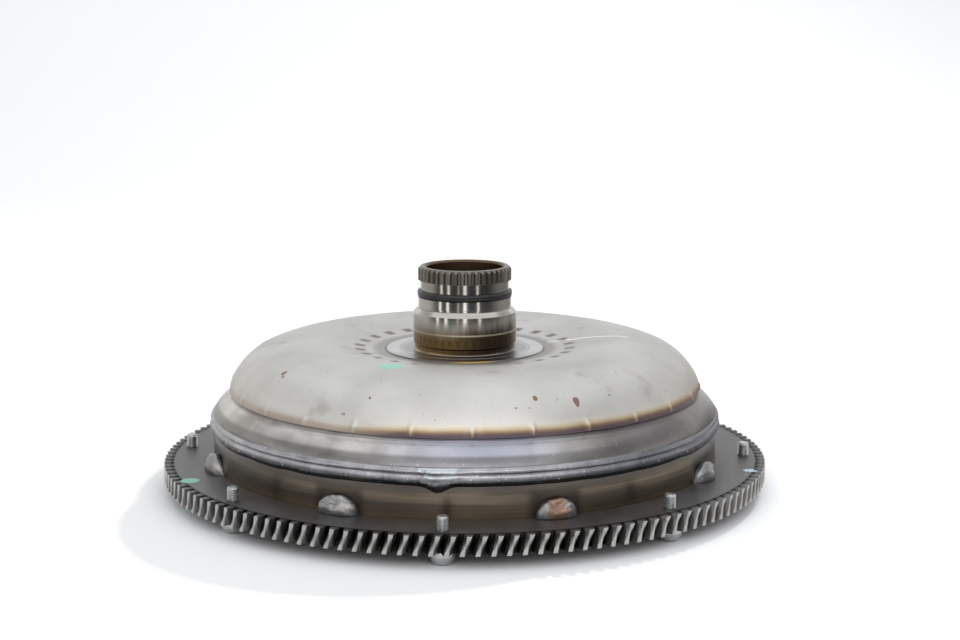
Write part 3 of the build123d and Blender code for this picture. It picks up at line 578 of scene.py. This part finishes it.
def impeller_shell(material):
    """The domed shell with oblong marks at each blade, stake dimples and slight waves."""
    loop, outside = shell_outline()
    per_blade = 56
    steps = BLADES * per_blade
    corners = []
    for i in range(steps):
        angle = BLADE_START + 2 * math.pi * i / steps
        beat = math.sin(math.pi * ((i + per_blade / 2) % per_blade - per_blade / 2) / steps)
        seen, turn_x, turn_y = i // per_blade, math.sin(angle), -math.cos(angle)
        vary = 0.75 + 0.35 * grain(seen * 1.7, 2.0)
        for j, (r, z) in enumerate(loop):
            if j < outside:
                across = abs(beat) * 2 * r
                if 52.8 < z < 63.0 and r > 110:
                    bulge = math.exp(-(across / 1.3) ** 2 - ((z - 55.6) / 3.0) ** 2)
                    r += 0.85 * vary * bulge
                elif r < 62.0:
                    dent = math.exp(-(across / 2.2) ** 4 - ((r - 56.0) / 2.0) ** 4)
                    rim = math.exp(-((across - 2.9) / 0.7) ** 2 - ((r - 56.0) / 2.4) ** 4)
                    z += -0.7 * vary * dent + 0.25 * rim
                elif z < 50.0:
                    r += 0.12 * ring_grain(angle, 7.0, z / 4, 2.0)
            corners.append((r * turn_x * MM, r * turn_y * MM, z * MM))
    faces = grid_faces(steps, len(loop), True, True)
    piece = mesh_piece("impeller_shell_pressing", corners, faces, material)
    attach(piece, "housing")
    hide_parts("impeller_shell")


def plate_lug_welds(material):
    """Eight lumpy fillets between the ring and the wall, no two alike."""
    rows, columns = 30, 18
    sunk = 0.1 * MM
    root_r = WALL_R - sunk
    root_z = PLATE_TOP - sunk / 2
    corners, faces = [], []
    for k in range(BOLT_COUNT):
        middle = LUG_START + k * 2 * math.pi / BOLT_COUNT
        start = len(corners)
        half = math.radians(4.6 + 0.3 * grain(k, 0.5))
        for i in range(rows):
            u = 2 * i / (rows - 1) - 1
            angle = middle + u * half
            swell = max(1 - abs(u) ** 2.6, 0.0) ** 0.55
            tall = (10.3 + 0.9 * grain(k + 0.3, u * 2)) * swell * MM
            wide = (7.6 + 0.9 * grain(k + 0.7, u * 2, 4.0)) * swell * MM
            for j in range(columns):
                v = j / (columns - 1) * math.pi / 2
                fat = 0.86 + 0.10 * math.sin(2 * v)
                lump = 0.10 * grain(u * 3, v * 3, k * 7) + 0.05 * grain(u * 9, v * 9, k * 5)
                crater = -0.22 * math.exp(-((u / 0.35) ** 2 + ((v - 0.8) / 0.35) ** 2))
                size = fat + math.sin(2 * v) * (lump + crater)
                r = root_r + wide * size * math.sin(v) ** 0.9
                z = root_z + tall * size * math.cos(v) ** 0.9
                corners.append((r * math.sin(angle), -r * math.cos(angle), z))
        back = len(corners)
        for i in range(rows):
            angle = middle + (2 * i / (rows - 1) - 1) * half
            corners.append((root_r * math.sin(angle), -root_r * math.cos(angle), root_z))
        faces += grid_faces(rows, columns, first=start)
        for i in range(rows - 1):
            a, b = start + i * columns, start + (i + 1) * columns
            faces.append((a, b, back + i + 1, back + i))
            faces.append((a + columns - 1, back + i, back + i + 1, b + columns - 1))
    piece = mesh_piece("plate_lug_weld_beads", corners, faces, material)
    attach(piece, "housing")
    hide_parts("plate_lug_welds")


def bolt_corners(k):
    """One screw: socket, round head and a helical thread up to a chamfered point."""
    pitch = 1.0 * MM
    around = 36
    steps_per_turn = 8
    core_r = 2.35 * MM
    thread_depth = 0.62 * MM
    point_r = 2.2 * MM
    point_flare = 0.78 * MM
    point_length = 0.8 * MM
    socket_r = 2.0 * MM
    socket_z = 3.0 * MM
    head = ((3.2, 0.0), (4.5, 0.4), (5.3, 1.3), (5.9, 2.6), (6.3, 4.2), (6.3, 6.2),
            (6.1, PLATE_LOW / MM))
    rings = []
    for scale, z in ((0.0, socket_z), (1.0, socket_z), (1.0, 0.2 * MM), (1.12, BOLT_LOW)):
        ring = []
        for j in range(around):
            a = 2 * math.pi * j / around + k * 0.7
            r = scale * socket_r / math.cos((a % (math.pi / 3)) - math.pi / 6)
            ring.append((r * math.cos(a), r * math.sin(a), z))
        rings.append(ring)
    for r, z in head:
        turns = [2 * math.pi * j / around + k * 0.7 for j in range(around)]
        dent = [0.12 * grain(2 * math.cos(a) + 5 * k, 2 * math.sin(a), z) for a in turns]
        rings.append([((r + d) * MM * math.cos(a), (r + d) * MM * math.sin(a), z * MM)
                      for a, d in zip(turns, dent)])
    step = pitch / steps_per_turn
    count = int((BOLT_TOP - PLATE_LOW) / step)
    for i in range(count + 1):
        z = PLATE_LOW + i * step
        taper = min((BOLT_TOP - z) / point_length, 1.0)
        ring = []
        for j in range(around):
            a = 2 * math.pi * j / around
            phase = (z / pitch - j / around) % 1.0
            groove = max(abs(2 * phase - 1) * 1.3 - 0.3, 0.0)
            r = min(core_r + thread_depth * groove, point_r + point_flare * taper)
            ring.append((r * math.cos(a), r * math.sin(a), z))
        rings.append(ring)
    return rings, around


def drive_plate_bolts(material):
    """The eight bolts in one piece."""
    corners, faces = [], []
    for k in range(BOLT_COUNT):
        angle = BOLT_START + k * 2 * math.pi / BOLT_COUNT
        cx, cy = BOLT_CIRCLE_R * math.sin(angle), -BOLT_CIRCLE_R * math.cos(angle)
        rings, around = bolt_corners(k)
        start = len(corners)
        for ring in rings:
            corners += [(cx + x, cy + y, z) for x, y, z in ring]
        faces += grid_faces(len(rings), around, False, True, start)
        top = start + (len(rings) - 1) * around
        faces.append(tuple(range(top, top + around)))
    piece = mesh_piece("drive_plate_bolt_set", corners, faces, material, smooth=False)
    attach(piece, "housing")
    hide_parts("drive_plate_bolts")


# ---- looks of the CAD nodes ----
SLOT_MATERIALS = {
    "shell_steel": shell_material(),
    "hub_steel": hub_material(),
    "weld_steel": weld_material(),
    "seal_rubber": plain_material("seal_rubber", (0.008, 0.008, 0.008), (0.02, 0.02, 0.02),
                                  200.0, 0.35, 0.0),
    "cover_steel": cover_material(),
    "machined_steel": plain_material("machined_steel", (0.42, 0.42, 0.42),
                                     (0.60, 0.60, 0.60), 80.0, 0.28),
    "ring_steel": ring_material(),
    "zinc": plain_material("zinc", (0.40, 0.41, 0.41), (0.62, 0.63, 0.63), 300.0, 0.32),
    "sheet_steel": plain_material("sheet_steel", (0.30, 0.30, 0.30), (0.48, 0.48, 0.48),
                                  60.0, 0.35),
    "bronze": plain_material("bronze", (0.36, 0.24, 0.11), (0.52, 0.38, 0.20), 80.0, 0.35),
    "cast_alloy": plain_material("cast_alloy", (0.50, 0.50, 0.50), (0.66, 0.66, 0.66),
                                 250.0, 0.5),
    "spring_steel": plain_material("spring_steel", (0.14, 0.15, 0.19), (0.30, 0.31, 0.36),
                                   120.0, 0.3),
    "friction_paper": plain_material("friction_paper", (0.09, 0.055, 0.03),
                                     (0.17, 0.11, 0.06), 500.0, 0.8, 0.0),
}
for entry in frame["record"]["subparts"]:
    node_mesh = NODES[entry["node"]].data
    node_mesh.materials.clear()
    node_mesh.materials.append(SLOT_MATERIALS[entry["material_slot"]])

impeller_shell(SLOT_MATERIALS["shell_steel"])
closing_weld(SLOT_MATERIALS["weld_steel"])
plate_lug_welds(lug_weld_material())
drive_plate_bolts(SLOT_MATERIALS["zinc"])


# ---- studio ----
def sweep():
    """Pale floor that curves up into a wall behind the object."""
    front_y = -4.0
    fold_y = 1.9
    wall_top = 3.0
    bend_r = 0.5
    bend_steps = 12
    half_width = 4.0
    outline = [(front_y, 0.0), (fold_y - bend_r, 0.0)]
    for i in range(1, bend_steps + 1):
        a = i / bend_steps * math.pi / 2
        outline.append((fold_y - bend_r + bend_r * math.sin(a), bend_r - bend_r * math.cos(a)))
    outline.append((fold_y, wall_top))
    tilt = math.radians(-3.0)
    corners = []
    for y, z in outline:
        for x in (-half_width, half_width):
            back = max(y, 0.0) / fold_y
            corners.append((x, y - x * math.tan(tilt) * back, z))
    floor = mesh_piece("floor_sweep", corners, grid_faces(len(outline), 2),
                       studio_material("sweep", (0.90, 0.90, 0.90), 0.55))


def reflection_card():
    """Dark bowl with bright bands and a glowing rim, seen only in the metal's reflections."""
    # each band: plan angle and half width in degrees, and how bright it is
    bands = ((-61, 3.6, 0.9), (-41, 3.4, 1.0), (-15, 2.0, 0.4), (1, 4.6, 1.0), (33, 2.8, 0.9))
    brightness = 2.2
    reach = 152
    step = 4
    inner_r, outer_r = 0.30, 2.0
    floor_z, rim_z = 0.004, 1.0
    rim_glow = (0.15, 0.55)
    left_glow = (math.radians(-62), math.radians(-100))
    right_glow = (1.0, 1.8)
    section = [(inner_r, floor_z), (outer_r, floor_z), (outer_r, rim_z)]
    corners = []
    for degrees in range(-reach, reach + 1, step):
        for radius, z in section:
            x, y = plan(radius, degrees)
            corners.append((x, y, z))
    s = Shader("reflection_card")
    glow = s.calc("MULTIPLY", s.between(s.angle, *left_glow), 0.3)
    glow = s.calc("MAXIMUM", glow, s.calc("MULTIPLY", s.between(s.angle, *right_glow), 0.14))
    glow = s.calc("MAXIMUM", glow, s.calc("MULTIPLY", s.between(s.z, *rim_glow), 0.5))
    for degrees, half, strength in bands:
        away = s.calc("ABSOLUTE", s.calc("SUBTRACT", s.angle, math.radians(degrees)))
        band = s.between(away, math.radians(half), math.radians(half * 0.6))
        glow = s.calc("MAXIMUM", glow, s.calc("MULTIPLY", band, strength))
    s.feed(s.surface.inputs["Emission Color"], (1.0, 0.98, 0.95))
    s.feed(s.surface.inputs["Emission Strength"], s.calc("MULTIPLY", glow, brightness))
    material = s.finish((0.03, 0.03, 0.03), 0.9, 0.0)
    rows = len(corners) // len(section)
    card = mesh_piece("reflection_card", corners, grid_faces(rows, len(section)), material)
    card.visible_camera = False
    card.visible_diffuse = False
    card.visible_shadow = False


def soft_light(name, place, aim, size, power):
    """A rectangular area light turned toward a point."""
    data = bpy.data.lights.new(name, "AREA")
    data.shape = "RECTANGLE"
    data.size, data.size_y = size
    data.energy = power
    lamp = bpy.data.objects.new(name, data)
    lamp.location = place
    lamp.rotation_euler = (Vector(aim) - Vector(place)).to_track_quat("-Z", "Y").to_euler()
    bpy.context.scene.collection.objects.link(lamp)
    return lamp


def camera():
    """The viewpoint: a long lens from just above, looking slightly down."""
    look_down = 0.1721
    data = bpy.data.cameras.new("camera")
    data.lens = 65.8
    data.sensor_width = 36.0
    eye = bpy.data.objects.new("camera", data)
    eye.location = (8.1 * MM, -921.6 * MM, 247.5 * MM)
    eye.rotation_euler = (math.pi / 2 - look_down, 0.0, 0.0)
    bpy.context.scene.collection.objects.link(eye)
    bpy.context.scene.camera = eye


def room():
    """Even light from all round, slightly cool."""
    world = bpy.data.worlds.new("room")
    world.use_nodes = True
    back = world.node_tree.nodes["Background"]
    back.inputs["Color"].default_value = (0.95, 0.97, 1.0, 1.0)
    back.inputs["Strength"].default_value = 0.66
    bpy.context.scene.world = world
    bpy.context.scene.view_settings.view_transform = "Standard"


sweep()
reflection_card()
soft_light("overhead", (0.0, 0.2, 2.3), (0, 0.2, 0), (4.0, 3.6), 24.0)
soft_light("front", (0.0, -1.9, 1.5), (0, 0, 0.05), (3.0, 1.0), 13.0)
key = soft_light("key", (0.75, 1.15, 1.15), (0, 0, 0.05), (0.05, 0.05), 11.0)
key.visible_glossy = False
camera()
room()
